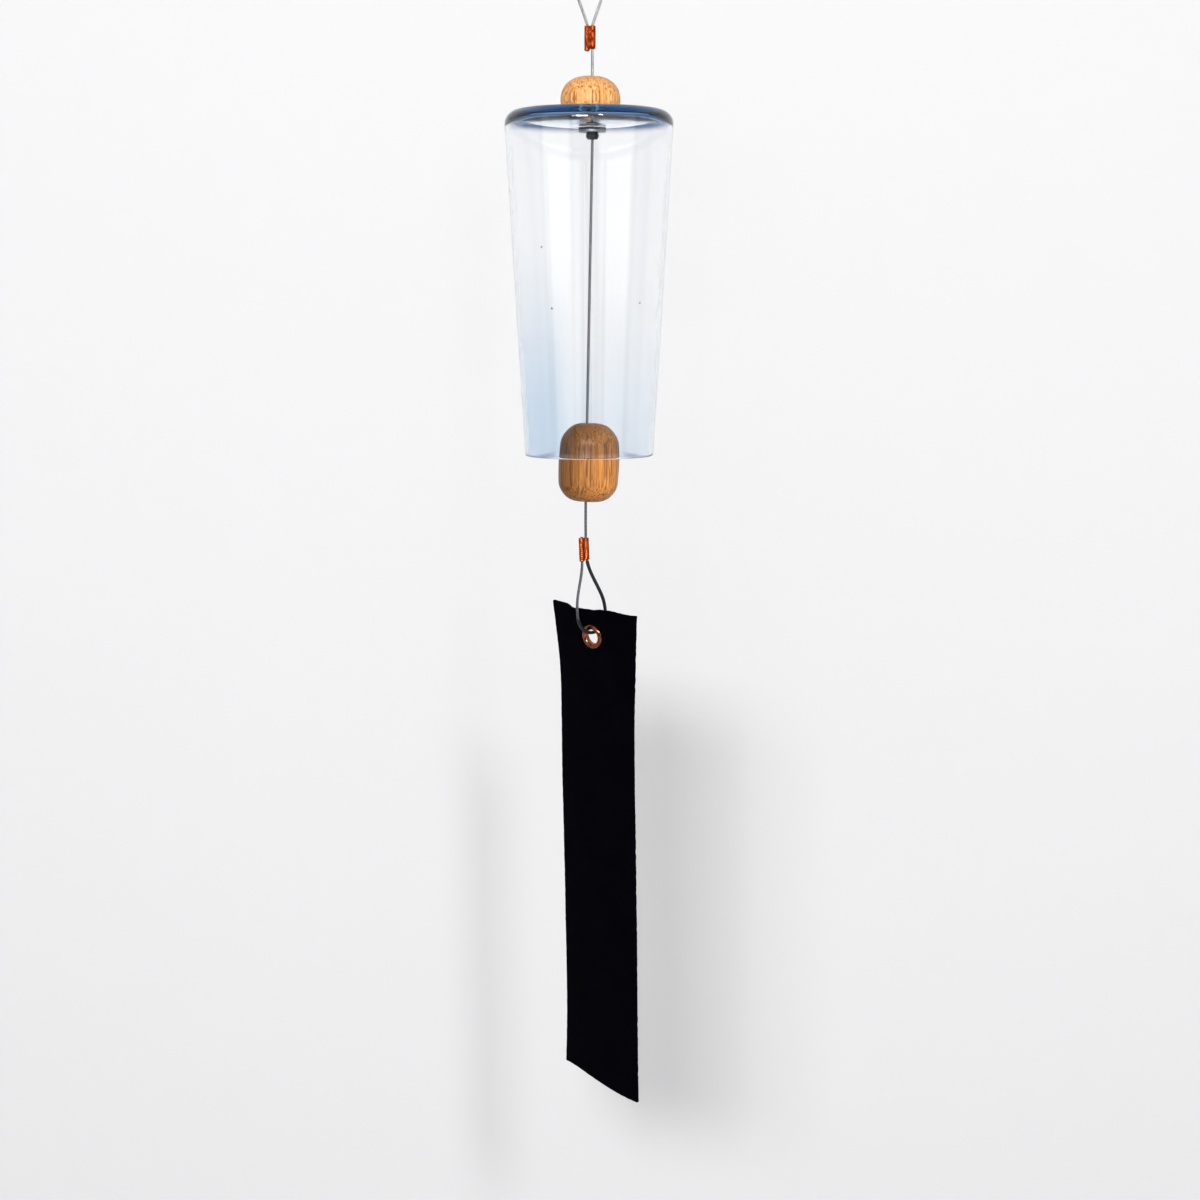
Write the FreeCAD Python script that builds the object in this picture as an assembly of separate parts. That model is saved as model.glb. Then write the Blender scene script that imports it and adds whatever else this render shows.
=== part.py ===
"""Furin wind bell: a tapered glass bell on a wire rope, with oak beads, copper ferrules and a leather sail.

Millimetres, +Z up. The origin is the rope's centreline at the top of the hanging loop, where a hook holds it.
-Y is the front. The rope runs down beside the centre lines of the bead and the glass, whose holes are wide.
"""
import FreeCAD, Part
import math
import os

os.makedirs("parts", exist_ok=True)
V = FreeCAD.Vector
UP = V(0, 0, 1)
DOWN = V(0, 0, -1)

# Clearances
OVERRUN = 2.0            # how far a cutting tool passes a face
GRIP = 0.02              # rope in a pressed sleeve
SEAT_GAP = 0.3           # between two pieces that rest on each other and move
FLEX_PLAY = 0.25         # round the rope's end where it flexes at a sleeve
FLEX_DEPTH = 0.9         # depth of that recess
FLEX_GAP = 0.15          # rope's end above that recess
WASHER_PLAY = 0.2        # rope in a washer
FITTING_ROUNDS = 6       # times that a slope is worked out again until it settles

# Wire rope
ROPE_DIAMETER = 1.2
LOOP_HEIGHT = 28.96      # top of the loop to the upper ferrule
ROPE_ABOVE_BEAD = 10.29  # bare rope between ferrule and bead
CLAPPER_ROPE = 143.6     # cable stop to the clapper's seat
CLAPPER_ROPE_LEAN = 1.118   # degrees from the vertical

# Copper ferrules, each with two barrels
FERRULE_LENGTH = 9.3
BARREL_WALL = 0.6
BORE_WEB = 0.7           # metal between the two ropes
BARREL_SPREAD = 0.23     # how far a barrel's centre lies outside its bore
GROOVE_WEB = 1.3         # thickness across the groove between the barrels
BARREL_STEP = 0.75       # the left barrel is longer at the bottom
BARREL_CHAMFER = 0.15
LOWER_TURN = 30.0        # degrees that the lower ferrule and loop are turned from the front
DEAD_END = 0.4           # cut rope end that stands out of its barrel

# Oak bead on top
BEAD_RADIUS = 12.35
BEAD_HEIGHT = 13.2
# Its outline after the flat top, as arcs: shares of the radius and of the height from the top
BEAD_TOP_SHARE = 0.32
BEAD_ARC_SHARES = [((0.60, 0.085), (0.80, 0.215)), ((0.935, 0.41), (1.0, 0.70)), ((0.962, 0.885), (0.826, 1.0))]
BEAD_HOLE_PLAY = 1.4     # hole radius over the rope's
BEAD_OFFSET = 0.79       # bead's axis left of the rope

# Glass bell
GLASS_RADIUS = 34.87     # at the shoulder
RIM_RADIUS = 26.98
GLASS_HEIGHT = 142.3
BASE_THICKNESS = 6.8     # in the middle, where its underside bulges down
EDGE_THICKNESS = 3.6     # near the wall
SEAT_RADIUS = 6.5        # flat place under the base for the washers
SHOULDER_RADIUS = 5.8
GLASS_WALL = 1.7
INNER_CORNER = 3.0
HOLE_PLAY = 2.4          # hole radius over the rope's
GLASS_OFFSET = 1.37      # glass axis left of the rope

# Washers and stop under the glass base
RUBBER_RADIUS = 5.67
RUBBER_THICKNESS = 0.95
STEEL_RADIUS = 5.55
STEEL_THICKNESS = 0.92
STOP_RADIUS = 2.68
STOP_NECK_RADIUS = 2.35
STOP_NECK = 0.5
STOP_HEIGHT = 3.0
STOP_FOOT_RADIUS = 1.75
STOP_PLAY = 0.05         # rope turning in the stop

# Oak clapper
CLAPPER_RADIUS = 12.75
CLAPPER_LENGTH = 32.8
# Its outline from each flat end to the middle, as arcs: shares of the radius and of the length
CLAPPER_TOP_SHARE = 0.30
CLAPPER_TOP_ARC_SHARES = [((0.60, 0.041), (0.79, 0.112)), ((0.90, 0.175), (0.965, 0.25))]
CLAPPER_FOOT_SHARE = 0.38
CLAPPER_FOOT_ARC_SHARES = [((0.66, 0.036), (0.82, 0.094)), ((0.91, 0.145), (0.975, 0.22))]
CLAPPER_LEAN = 2.5       # degrees from the vertical, top to the right
CLAPPER_OFFSET = 0.85    # its axis right of the rope, at its seat
CLAPPER_HOLE_PLAY = 1.9
COUNTERBORE_RADIUS = 4.7
COUNTERBORE_DEPTH = 6.0
SEAT_WASHER_RADIUS = 3.5
SEAT_WASHER_THICKNESS = 0.8
SEAT_STOP_RADIUS = 1.8
SEAT_STOP_HEIGHT = 3.0

# Black tube on the lower loop
SLEEVE_WALL = 0.13

# Copper eyelet
HOLE_RADIUS = 3.15
EYELET_RADIUS = 5.35
EYELET_WALL = 0.4
EYELET_DOME = 0.75       # height of its front ring
EYELET_ROLL = 0.6        # width of the rolled edge behind
EYELET_ROLL_HEIGHT = 0.45
BACK_RING_RADIUS = 5.1
BACK_RING_THICKNESS = 0.5
EYELET_PRESS = 0.12      # depth that the rings are pressed into the leather
EYELET_SIDE = 0.85       # hole's centre beside the rope, along the strip
EYELET_DROP = 1.60       # hole's centre below the rope

# Leather sail
SAIL_WIDTH = 44.0
SAIL_LENGTH = 214.8
SAIL_THICKNESS = 1.2
EYELET_TO_TOP = 14.2     # hole's centre to the highest corner

# Directions of the lower ferrule and its rope, as chosen from the photograph
FERRULE_TILT = V(-0.4, 0.6, 10.02)
SAIL_FRONT = V(-0.64, -0.751, -0.15)

# Route of the hanging loop's left half, from the ferrule to its top: across and down
LOOP_ROUTE = [(-2.60, -24.0), (-4.60, -18.8), (-5.90, -13.6), (-6.67, -8.45), (-6.67, -4.88),
              (-4.88, -1.79), (-1.79, 0.0)]

# Lower end of the rope. First its crimp under the clapper, then the loop: along the loop's plane and up
CRIMP_BELOW_CLAPPER = V(-0.522, -1.2, -26.65)
LOWER_ROUTE = [(2.60, -4.80), (4.93, -9.20), (7.44, -13.60), (9.30, -17.60), (10.20, -21.80), (10.25, -26.35),
               (8.40, -29.56), (5.20, -31.41), (1.50, -31.41), (-1.35, -29.41), (-3.05, -25.90), (-3.62, -21.90),
               (-3.55, -17.50), (-2.70, -12.00), (-1.50, -6.50)]
LOOP_BOTTOM = (3.05, -31.41)    # where the eyelet hangs on that route
SLEEVE_FIRST_BEND = 2    # bends of the whole lower rope between which the black tube lies
SLEEVE_LAST_BEND = 13

# Shape of the leather strip: share of its length, twist in degrees, then its middle's shares of the width to the
# right and back from the eyelet, and how far its side edges lie behind that middle
SAIL_STATION_SHARES = [
    (-0.06, 33.5, -0.009, -0.092, 0.027),
    (0.04, 39.3, 0.010, -0.020, 0.027),
    (0.14, 44.3, 0.028, 0.024, 0.025),
    (0.24, 46.0, 0.032, 0.028, 0.021),
    (0.34, 46.1, 0.038, 0.015, 0.018),
    (0.44, 46.3, 0.049, 0.004, 0.016),
    (0.54, 46.5, 0.059, -0.002, 0.014),
    (0.64, 46.7, 0.067, -0.003, 0.014),
    (0.74, 46.9, 0.074, -0.003, 0.014),
    (0.84, 47.0, 0.079, -0.002, 0.014),
    (0.94, 46.0, 0.079, 0.001, 0.014),
    (1.04, 44.0, 0.076, 0.003, 0.014),
]
# Cut edges of the strip: how far each one's middle lies right of the eyelet, as a share of the width
TOP_SIDE_SHARE = 0.02
BOTTOM_SIDE_SHARE = 0.12
# then share across its width from the left, and share of the width below the highest corner
SAIL_TOP_SHARES = [(-0.2, -0.02), (0.0, 0.0), (0.189, 0.021), (0.212, 0.033), (0.235, 0.054), (0.281, 0.060),
                   (0.319, 0.056), (0.516, 0.061), (0.584, 0.051), (0.714, 0.054), (0.877, 0.076),
                   (0.943, 0.079), (1.2, 0.076)]
# and share of the width above the lowest corner
SAIL_BOTTOM_SHARES = [(-0.2, 0.190), (0.0, 0.178), (0.127, 0.156), (0.340, 0.106), (0.549, 0.057),
                      (0.757, 0.018), (0.920, 0.0), (1.2, 0.0)]

# Worked out from the sizes above
rope_radius = ROPE_DIAMETER / 2
cable_x = rope_radius + BORE_WEB / 2
barrel_x = cable_x + BARREL_SPREAD
barrel_radius = rope_radius + BARREL_WALL
recess_radius = rope_radius + FLEX_PLAY

ferrule_top = -LOOP_HEIGHT
cable_hinge = ferrule_top - FERRULE_LENGTH
ferrule_bottom = cable_hinge - BARREL_STEP
bead_top = ferrule_bottom - ROPE_ABOVE_BEAD
bead_bottom = bead_top - BEAD_HEIGHT
glass_top = bead_bottom - SEAT_GAP
base_bottom = glass_top - BASE_THICKNESS
rim_bottom = glass_top - GLASS_HEIGHT
rubber_top = base_bottom - SEAT_GAP
steel_top = rubber_top - RUBBER_THICKNESS
stop_top = steel_top - STEEL_THICKNESS
stop_bottom = stop_top - STOP_HEIGHT

stop_mouth = V(cable_x, 0, stop_bottom)
rope_lean = math.radians(CLAPPER_ROPE_LEAN)
rope_down = V(-math.sin(rope_lean), 0, -math.cos(rope_lean))
clapper_lean = math.radians(CLAPPER_LEAN)
clapper_up = V(math.sin(clapper_lean), 0, math.cos(clapper_lean))
clapper_seat = stop_mouth + rope_down * CLAPPER_ROPE + V(CLAPPER_OFFSET, 0, 0)
seat_washer_top = stop_mouth + rope_down * (CLAPPER_ROPE + SEAT_GAP)
seat_stop_top = seat_washer_top + rope_down * SEAT_WASHER_THICKNESS
tail_hinge = seat_stop_top + rope_down * SEAT_STOP_HEIGHT

crimp = tail_hinge + CRIMP_BELOW_CLAPPER
lower_turn = math.radians(LOWER_TURN)
loop_across = V(math.cos(lower_turn), math.sin(lower_turn), 0)
crimp_up = V(FERRULE_TILT)
crimp_up.normalize()
sail_front = V(SAIL_FRONT)
sail_front.normalize()
strip_across = V(-sail_front.y, sail_front.x, 0)
strip_across.normalize()
strip_up = sail_front.cross(strip_across)
loop_bottom = crimp + loop_across * LOOP_BOTTOM[0] + UP * LOOP_BOTTOM[1]
eyelet_centre = loop_bottom + strip_across * EYELET_SIDE - strip_up * EYELET_DROP


def save(shape, node):
    if not shape.isValid():
        print("not valid:", node)
    shape.exportStep("parts/" + node + ".step")
    print(f"{node}: {len(shape.Solids)} solid, {shape.Volume:.2f} mm3")


def frame(origin, x_axis, z_axis):
    """Placement that carries local X and Z to these directions, with its origin at origin."""
    x = V(x_axis)
    x.normalize()
    z = V(z_axis)
    z.normalize()
    y = z.cross(x)
    y.normalize()
    x = y.cross(z)
    return FreeCAD.Placement(FreeCAD.Matrix(x.x, y.x, z.x, origin.x, x.y, y.y, z.y, origin.y,
                                            x.z, y.z, z.z, origin.z, 0, 0, 0, 1))


def placed(shape, placement):
    shape.Placement = placement
    return shape


def lathe(edges, placement=None):
    """Solid of revolution about local Z from edges in the XZ plane."""
    shape = Part.Face(Part.Wire(edges)).revolve(V(0, 0, 0), UP, 360)
    return placed(shape, placement) if placement else shape


def line(a, b):
    """Straight edge between two (radius, height) points of a lathe profile."""
    return Part.LineSegment(V(a[0], 0, a[1]), V(b[0], 0, b[1])).toShape()


def arc(a, mid, b):
    """Arc through three (radius, height) points of a lathe profile."""
    return Part.Arc(V(a[0], 0, a[1]), V(mid[0], 0, mid[1]), V(b[0], 0, b[1])).toShape()


def tube(outer, inner, low, high):
    """Ring about local Z between two heights."""
    ring = Part.makeCylinder(outer, high - low, V(0, 0, low))
    return ring.cut(Part.makeCylinder(inner, high - low + 2 * OVERRUN, V(0, 0, low - OVERRUN)))


# Rope
def rope_edges(points, label):
    """Straight runs joined by tangent arcs. Each arc's radius is 0.45 of its shorter run over tan(half turn)."""
    edges = []
    radii = []
    start = points[0]
    for before, here, after in zip(points, points[1:], points[2:]):
        arrive = here - before
        leave = after - here
        turn = arrive.getAngle(leave)
        reach = 0.45 * min(arrive.Length, leave.Length)
        radius = reach / math.tan(turn / 2)
        arrive.normalize()
        leave.normalize()
        first = here - arrive * reach
        last = here + leave * reach
        inward = leave - arrive
        inward.normalize()
        centre = here + inward * (radius / math.cos(turn / 2))
        middle = centre - inward * radius
        edges.append(Part.LineSegment(start, first).toShape())
        edges.append(Part.Arc(first, middle, last).toShape())
        radii.append(radius)
        start = last
    edges.append(Part.LineSegment(start, points[-1]).toShape())
    print(f"{label} radii mm:", " ".join(f"{r:.1f}" for r in radii))
    return edges


def bend(index):
    """Place, in the edges of rope_edges, of the arc at this point of the route."""
    return 2 * index - 1


def pipe(edges, radius):
    """Round tube of this radius along the edges."""
    path = Part.Wire(edges)
    begin = edges[0].valueAt(edges[0].FirstParameter)
    along = edges[0].tangentAt(edges[0].FirstParameter)
    section = Part.Wire(Part.Circle(begin, along, radius).toShape())
    shape = path.makePipeShell([section], True, False)
    straight = math.pi * radius ** 2 * path.Length
    print(f"  tube volume {shape.Volume:.2f}, section times length {straight:.2f} mm3")
    return shape


def round_end(centre, outward):
    """Half ball that closes a rope where it flexes."""
    return Part.makeSphere(rope_radius, centre, outward, 0, 90, 360)


def straight_rope(start, down, length):
    """Rope along one direction, with a round end at its start."""
    r = rope_radius
    slope = r * math.sqrt(0.5)
    edges = [arc((0, r), (slope, slope), (r, 0)), line((r, 0), (r, -length)),
             line((r, -length), (0, -length)), line((0, -length), (0, r))]
    return lathe(edges, frame(start, V(0, 1, 0), down * -1))


def hanging_loop():
    left = [V(-cable_x, 0, ferrule_top)] + [V(x, 0, z) for x, z in LOOP_ROUTE]
    right = [V(-p.x, p.y, p.z) for p in reversed(left)]
    route = left + right
    shape = pipe(rope_edges(route, "hanging loop"), rope_radius)
    for end, beside in ((route[0], route[1]), (route[-1], route[-2])):
        shape = shape.fuse(round_end(end, end - beside))
    return shape.removeSplitter()


def lower_route():
    """Points of the rope from its hinge under the clapper, through the crimp, round the loop and back."""
    loop = [crimp + loop_across * u + UP * z for u, z in LOWER_ROUTE]
    right = crimp + loop_across * cable_x
    left = crimp - loop_across * cable_x
    rise = crimp_up * FERRULE_LENGTH
    return [tail_hinge, right + rise, right] + loop + [left, left + rise + crimp_up * DEAD_END]


# Copper ferrules
def ferrule_body():
    """Two barrels and the web between them, standing on local Z = 0, with the left barrel longer."""
    body = Part.makeBox(2 * barrel_x, GROOVE_WEB, FERRULE_LENGTH, V(-barrel_x, -GROOVE_WEB / 2, 0))
    for side, step in ((1, 0), (-1, BARREL_STEP)):
        barrel = Part.makeCylinder(barrel_radius, FERRULE_LENGTH + step, V(side * barrel_x, 0, -step))
        barrel = barrel.makeChamfer(BARREL_CHAMFER, barrel.Edges)
        body = body.fuse(barrel)
    return body.removeSplitter()


def upper_ferrule():
    body = ferrule_body()
    body.translate(V(0, 0, cable_hinge))
    for side in (1, -1):
        x = side * cable_x
        body = body.cut(Part.makeCylinder(rope_radius + GRIP, FERRULE_LENGTH + 2 * OVERRUN,
                                          V(x, 0, cable_hinge - OVERRUN)))
        body = body.cut(Part.makeCylinder(recess_radius, FLEX_DEPTH + OVERRUN,
                                          V(x, 0, ferrule_top - FLEX_DEPTH)))
    return body.cut(Part.makeCylinder(recess_radius, FLEX_DEPTH + OVERRUN, V(cable_x, 0, cable_hinge - OVERRUN)))


def gripped_rope():
    """The two stretches that the upper ferrule grips. The left one is the rope's cut end."""
    high = ferrule_top - FLEX_DEPTH
    low_right = cable_hinge + FLEX_DEPTH
    low_left = ferrule_bottom - DEAD_END / 2
    right = Part.makeCylinder(rope_radius, high - low_right, V(cable_x, 0, low_right))
    left = Part.makeCylinder(rope_radius, high - low_left, V(-cable_x, 0, low_left))
    return Part.makeCompound([right, left])


def lower_ferrule(rope_tool):
    body = placed(ferrule_body(), frame(crimp, loop_across, crimp_up))
    return body, body.cut(rope_tool)


# Oak pieces
def top_bead():
    hole = rope_radius + BEAD_HOLE_PLAY
    here = (BEAD_TOP_SHARE * BEAD_RADIUS, bead_top)
    edges = [line((hole, bead_top), here)]
    for mid, end in BEAD_ARC_SHARES:
        points = [(r * BEAD_RADIUS, bead_top - z * BEAD_HEIGHT) for r, z in (mid, end)]
        edges.append(arc(here, *points))
        here = points[1]
    edges.append(line(here, (hole, bead_bottom)))
    edges.append(line((hole, bead_bottom), (hole, bead_top)))
    return lathe(edges, FreeCAD.Placement(V(cable_x - BEAD_OFFSET, 0, 0), FreeCAD.Rotation()))


def clapper_end(flat_share, arc_shares, end, inward):
    """Outline from a flat end towards the middle: its start, and (middle, end) points of each arc."""
    start = (flat_share * CLAPPER_RADIUS, end)
    arcs = [[(r * CLAPPER_RADIUS, end + inward * z * CLAPPER_LENGTH) for r, z in pair] for pair in arc_shares]
    return start, arcs


def clapper():
    """Barrel on local Z, whose zero is the seat at the top of its counterbore."""
    low = -COUNTERBORE_DEPTH
    high = CLAPPER_LENGTH - COUNTERBORE_DEPTH
    hole = rope_radius + CLAPPER_HOLE_PLAY
    here, upper = clapper_end(CLAPPER_TOP_SHARE, CLAPPER_TOP_ARC_SHARES, high, -1)
    foot, lower = clapper_end(CLAPPER_FOOT_SHARE, CLAPPER_FOOT_ARC_SHARES, low, 1)
    edges = [line((hole, high), here)]
    for mid, end in upper:
        edges.append(arc(here, mid, end))
        here = end
    edges.append(arc(here, (CLAPPER_RADIUS, (low + high) / 2), lower[-1][1]))
    here = foot
    for mid, end in lower:
        edges.append(arc(here, mid, end))
        here = end
    edges += [
        line(foot, (COUNTERBORE_RADIUS, low)),
        line((COUNTERBORE_RADIUS, low), (COUNTERBORE_RADIUS, 0)),
        line((COUNTERBORE_RADIUS, 0), (hole, 0)),
        line((hole, 0), (hole, high)),
    ]
    return lathe(Part.__sortEdges__(edges), frame(clapper_seat, V(1, 0, 0), clapper_up))


# Glass
def polar(centre, radius, angle):
    """Point (radius, height) at this distance and angle from a centre in the lathe's profile."""
    return centre[0] + radius * math.cos(angle), centre[1] + radius * math.sin(angle)


def bulge(corner):
    """Slope at which the underside's arc meets the inner corner, from its seat to the corner's circle."""
    slope = 0.0
    for _ in range(FITTING_ROUNDS):
        end = polar(corner, INNER_CORNER, math.pi / 2 + slope)
        slope = 2 * math.atan((end[1] - base_bottom) / (end[0] - SEAT_RADIUS))
    return slope


def glass_bell():
    """Closed, thick base on top, rounded shoulder, straight taper and round lip, made as one lathe profile."""
    axis = cable_x - GLASS_OFFSET
    hole = rope_radius + HOLE_PLAY
    shoulder = (GLASS_RADIUS - SHOULDER_RADIUS, glass_top - SHOULDER_RADIUS)
    lip = GLASS_WALL / 2
    foot = (RIM_RADIUS - lip, rim_bottom + lip)
    taper = math.atan((GLASS_RADIUS - RIM_RADIUS) / (shoulder[1] - foot[1]))
    side_top = polar(shoulder, SHOULDER_RADIUS, -taper)
    side_foot = polar(foot, lip, -taper)
    inner_foot = polar(foot, -lip, -taper)
    inner_z = glass_top - EDGE_THICKNESS - INNER_CORNER
    wall_r = inner_foot[0] + (inner_z - inner_foot[1]) * math.tan(taper)
    corner = (wall_r - INNER_CORNER / math.cos(taper), inner_z)
    slope = bulge(corner)
    inner_side = polar(corner, INNER_CORNER, -taper)
    inner_top = polar(corner, INNER_CORNER, math.pi / 2 + slope)
    arch = (inner_top[0] - SEAT_RADIUS) / math.sin(slope)
    under_mid = polar((SEAT_RADIUS, base_bottom + arch), arch, (slope - math.pi) / 2)
    edges = [
        line((hole, glass_top), (shoulder[0], glass_top)),
        arc((shoulder[0], glass_top), polar(shoulder, SHOULDER_RADIUS, (math.pi / 2 - taper) / 2), side_top),
        line(side_top, side_foot),
        arc(side_foot, polar(foot, lip, -math.pi / 2 - taper), inner_foot),
        line(inner_foot, inner_side),
        arc(inner_side, polar(corner, INNER_CORNER, (math.pi / 2 + slope - taper) / 2), inner_top),
        arc(inner_top, under_mid, (SEAT_RADIUS, base_bottom)),
        line((SEAT_RADIUS, base_bottom), (hole, base_bottom)),
        line((hole, base_bottom), (hole, glass_top)),
    ]
    return lathe(edges, FreeCAD.Placement(V(axis, 0, 0), FreeCAD.Rotation()))


# What carries the glass
def on_cable(shape):
    return placed(shape, FreeCAD.Placement(V(cable_x, 0, 0), FreeCAD.Rotation()))


def rubber_washer():
    return on_cable(tube(RUBBER_RADIUS, rope_radius + WASHER_PLAY, steel_top, rubber_top))


def steel_washer():
    return on_cable(tube(STEEL_RADIUS, rope_radius + WASHER_PLAY, stop_top, steel_top))


def cable_stop():
    """Pressed stop: short neck, ball-like body, and a recess below where the clapper's rope flexes."""
    bore = rope_radius + STOP_PLAY
    neck_z = stop_top - STOP_NECK
    body_mid = (stop_bottom + neck_z) / 2
    edges = [
        line((bore, stop_top), (STOP_NECK_RADIUS, stop_top)),
        line((STOP_NECK_RADIUS, stop_top), (STOP_NECK_RADIUS, neck_z)),
        arc((STOP_NECK_RADIUS, neck_z), (STOP_RADIUS, body_mid), (STOP_FOOT_RADIUS, stop_bottom)),
        line((STOP_FOOT_RADIUS, stop_bottom), (recess_radius, stop_bottom)),
        line((recess_radius, stop_bottom), (recess_radius, stop_bottom + FLEX_DEPTH)),
        line((recess_radius, stop_bottom + FLEX_DEPTH), (bore, stop_bottom + FLEX_DEPTH)),
        line((bore, stop_bottom + FLEX_DEPTH), (bore, stop_top)),
    ]
    return on_cable(lathe(edges))


# What carries the clapper, all square to its leaning rope
def on_clapper_rope(shape, top):
    return placed(shape, frame(top, V(0, 1, 0), rope_down * -1))


def clapper_washer():
    ring = tube(SEAT_WASHER_RADIUS, rope_radius + WASHER_PLAY, -SEAT_WASHER_THICKNESS, 0)
    return on_clapper_rope(ring, seat_washer_top)


def clapper_stop():
    ring = tube(SEAT_STOP_RADIUS, rope_radius + GRIP, -SEAT_STOP_HEIGHT, 0)
    recess = Part.makeCylinder(recess_radius, FLEX_DEPTH + OVERRUN, V(0, 0, -SEAT_STOP_HEIGHT - OVERRUN))
    return on_clapper_rope(ring.cut(recess), seat_stop_top)


# Leather sail and its eyelet
def strip_section(share, twist, side, back, bow):
    """Closed wire across the strip: two bowed faces and two square edges."""
    angle = math.radians(twist)
    across = V(math.cos(angle), -math.sin(angle), 0)
    front = V(-math.sin(angle), -math.cos(angle), 0)
    height = eyelet_centre.z + EYELET_TO_TOP - share * SAIL_LENGTH
    middle = V(eyelet_centre.x + side * SAIL_WIDTH, eyelet_centre.y + back * SAIL_WIDTH, height)
    left = middle - across * (SAIL_WIDTH / 2) - front * (bow * SAIL_WIDTH)
    right = middle + across * (SAIL_WIDTH / 2) - front * (bow * SAIL_WIDTH)
    skin = front * (SAIL_THICKNESS / 2)
    front_arc = Part.Arc(left + skin, middle + skin, right + skin)
    back_arc = Part.Arc(right - skin, middle - skin, left - skin)
    right_edge = Part.LineSegment(right + skin, right - skin)
    left_edge = Part.LineSegment(left - skin, left + skin)
    return Part.Wire([front_arc.toShape(), right_edge.toShape(), back_arc.toShape(), left_edge.toShape()])


def edge_tool(shares, side, from_z, upward, reach):
    """Block beyond a cut edge of the strip, as wide as its outline and as deep as reach."""
    across = strip_across
    points = [eyelet_centre + across * ((s + side - 0.5) * SAIL_WIDTH) for s, inset in shares]
    heights = [from_z - upward * inset * SAIL_WIDTH for s, inset in shares]
    outline = [V(p.x, p.y, z) for p, z in zip(points, heights)]
    far = from_z + upward * reach
    corners = outline + [V(outline[-1].x, outline[-1].y, far), V(outline[0].x, outline[0].y, far), outline[0]]
    normal = V(-across.y, across.x, 0)
    face = Part.Face(Part.makePolygon([p - normal * reach for p in corners]))
    return face.extrude(normal * (2 * reach))


def sail():
    strip = Part.makeLoft([strip_section(*row) for row in SAIL_STATION_SHARES], True, False)
    top = eyelet_centre.z + EYELET_TO_TOP
    strip = strip.cut(edge_tool(SAIL_TOP_SHARES, TOP_SIDE_SHARE, top, 1, SAIL_WIDTH))
    bottom = top - SAIL_LENGTH
    strip = strip.cut(edge_tool(SAIL_BOTTOM_SHARES, BOTTOM_SIDE_SHARE, bottom, -1, SAIL_WIDTH))
    seat = SAIL_THICKNESS / 2 - EYELET_PRESS
    hole = Part.makeCylinder(HOLE_RADIUS + EYELET_WALL + GRIP, 2 * SAIL_WIDTH, V(0, 0, -SAIL_WIDTH))
    front_seat = Part.makeCylinder(EYELET_RADIUS + GRIP, OVERRUN, V(0, 0, seat))
    back_seat = Part.makeCylinder(BACK_RING_RADIUS + GRIP, OVERRUN, V(0, 0, -seat - OVERRUN))
    for tool in (hole, front_seat, back_seat):
        strip = strip.cut(placed(tool, eyelet_frame()))
    return strip


def eyelet_frame():
    return frame(eyelet_centre, strip_across, sail_front)


def eyelet():
    """Front ring with a domed face, its barrel through the leather, and the rolled edge behind."""
    front = SAIL_THICKNESS / 2 - EYELET_PRESS
    back = -front - BACK_RING_THICKNESS
    outer = HOLE_RADIUS + EYELET_WALL
    roll_radius = outer + EYELET_ROLL
    roll_mid = (HOLE_RADIUS + roll_radius) / 2
    ring_mid = (HOLE_RADIUS + EYELET_RADIUS) / 2
    edges = [
        line((EYELET_RADIUS, front), (outer, front)),
        line((outer, front), (outer, back)),
        line((outer, back), (roll_radius, back)),
        arc((roll_radius, back), (roll_mid, back - EYELET_ROLL_HEIGHT), (HOLE_RADIUS, back)),
        line((HOLE_RADIUS, back), (HOLE_RADIUS, front)),
        arc((HOLE_RADIUS, front), (ring_mid, front + EYELET_DOME), (EYELET_RADIUS, front)),
    ]
    return lathe(edges, eyelet_frame())


def eyelet_washer():
    front = -(SAIL_THICKNESS / 2 - EYELET_PRESS)
    ring = tube(BACK_RING_RADIUS, HOLE_RADIUS + EYELET_WALL + GRIP, front - BACK_RING_THICKNESS, front)
    return placed(ring, eyelet_frame())


def main():
    save(hanging_loop(), "hanging_loop")
    save(upper_ferrule(), "upper_ferrule")
    save(gripped_rope(), "gripped_rope")
    cable_length = cable_hinge - (stop_bottom + FLEX_DEPTH + FLEX_GAP)
    save(straight_rope(V(cable_x, 0, cable_hinge), DOWN, cable_length), "suspension_cable")
    save(top_bead(), "top_bead")
    save(glass_bell(), "glass_bell")
    save(rubber_washer(), "rubber_washer")
    save(steel_washer(), "steel_washer")
    save(cable_stop(), "cable_stop")
    line_length = (tail_hinge - stop_mouth).Length - FLEX_DEPTH
    save(straight_rope(stop_mouth, rope_down, line_length), "clapper_cable")
    save(clapper_washer(), "clapper_washer")
    save(clapper_stop(), "clapper_stop")
    save(clapper(), "clapper")

    edges = rope_edges(lower_route(), "lower rope")
    rope = pipe(edges, rope_radius)
    bore = pipe(edges, rope_radius + GRIP)
    rope = rope.fuse(round_end(tail_hinge, UP)).removeSplitter()
    save(rope, "tail_cable")
    block, ferrule = lower_ferrule(bore)
    save(ferrule, "lower_ferrule")
    covered = edges[bend(SLEEVE_FIRST_BEND):bend(SLEEVE_LAST_BEND) + 1]
    sleeve = pipe(covered, rope_radius + GRIP + SLEEVE_WALL).cut(bore).cut(block)
    save(sleeve, "loop_sleeve")
    save(sail(), "sail")
    save(eyelet(), "eyelet")
    save(eyelet_washer(), "eyelet_washer")


main()
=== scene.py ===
"""Looks of the wind bell: strands for the wire rope, pressed copper, oak, blue glass and a leather strip.

Metres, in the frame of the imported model. The places and sizes named below are in millimetres unless they say
otherwise, and take MM where they are used.
"""
import math

import bmesh
import bpy
import numpy as np
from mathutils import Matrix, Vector, noise


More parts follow.
